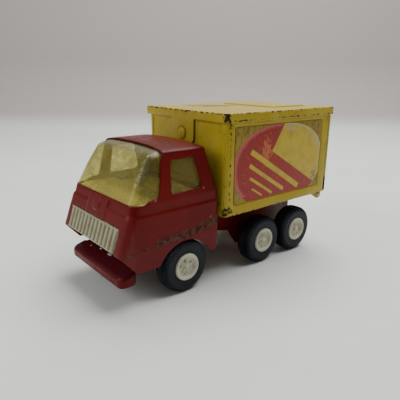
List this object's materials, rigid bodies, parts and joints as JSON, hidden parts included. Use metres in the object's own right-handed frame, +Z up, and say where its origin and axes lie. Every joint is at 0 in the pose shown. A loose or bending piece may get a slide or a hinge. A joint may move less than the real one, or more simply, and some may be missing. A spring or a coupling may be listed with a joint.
{
  "type": "toy box truck",
  "caption": "Pressed-steel toy cab-over delivery truck with rolling wheels, a clear cab glazing, a moulded grille and a roofed cargo box with a drop-down rear door.",
  "frame": {"origin": "on the floor under the middle of the truck's overall length and width", "axes": "-Y towards the front of the truck, +X towards its left side, +Z up"},
  "size_m": [0.113, 0.2368, 0.1418],
  "materials": {
    "cab_paint": "gloss red paint, scratched and chipped",
    "chassis_paint": "gloss dark red paint, worn at the edges",
    "box_paint": "semi-gloss mustard yellow paint, chipped to dark metal at corners and edges",
    "window_plastic": "clear plastic, yellowed with age",
    "interior_plastic": "matt cream plastic",
    "grille_plastic": "matt cream plastic, dusty between the ribs",
    "tyre_rubber": "dull blue-black rubber",
    "hub_plastic": "semi-gloss cream plastic",
    "axle_steel": "plain drawn steel",
    "rivet_steel": "plain steel, slightly dull",
    "label_film": "aged printed film, red and yellow shapes under a cracked clear layer"
  },
  "bodies": {
    "truck_body": {"chassis_frame": "chassis_paint", "cab_shell": "cab_paint", "window_insert": "window_plastic", "cab_interior": "interior_plastic", "front_grille": "grille_plastic", "box_body": "box_paint", "box_roof": "box_paint", "roof_tab_rivet": "box_paint", "side_label_left": "label_film", "side_label_right": "label_film", "cab_rivet_1": "rivet_steel", "cab_rivet_2": "rivet_steel", "box_rivet_1": "rivet_steel", "box_rivet_2": "rivet_steel", "box_rivet_3": "rivet_steel", "box_rivet_4": "rivet_steel", "door_pin_left": "rivet_steel", "door_pin_right": "rivet_steel"},
    "front_wheels": {"axle_front": "axle_steel", "tyre_front_left": "tyre_rubber", "hub_front_left": "hub_plastic", "tyre_front_right": "tyre_rubber", "hub_front_right": "hub_plastic"},
    "rear_wheels_1": {"axle_rear_1": "axle_steel", "tyre_rear_1_left": "tyre_rubber", "hub_rear_1_left": "hub_plastic", "tyre_rear_1_right": "tyre_rubber", "hub_rear_1_right": "hub_plastic"},
    "rear_wheels_2": {"axle_rear_2": "axle_steel", "tyre_rear_2_left": "tyre_rubber", "hub_rear_2_left": "hub_plastic", "tyre_rear_2_right": "tyre_rubber", "hub_rear_2_right": "hub_plastic"},
    "cargo_door": {"rear_door": "box_paint"}
  },
  "joints": [
    {"name": "front_wheels_roll", "type": "hinge", "parent": "truck_body", "child": "front_wheels", "pos_m": [0, -0.0587, 0.022], "axis": [1, 0, 0], "continuous": true},
    {"name": "rear_wheels_1_roll", "type": "hinge", "parent": "truck_body", "child": "rear_wheels_1", "pos_m": [0, 0.0318, 0.022], "axis": [1, 0, 0], "continuous": true},
    {"name": "rear_wheels_2_roll", "type": "hinge", "parent": "truck_body", "child": "rear_wheels_2", "pos_m": [0, 0.0798, 0.022], "axis": [1, 0, 0], "continuous": true},
    {"name": "cargo_door_hinge", "type": "hinge", "parent": "truck_body", "child": "cargo_door", "pos_m": [0, 0.1096, 0.0536], "axis": [-1, 0, 0], "range_deg": [0, 120]}
  ]
}
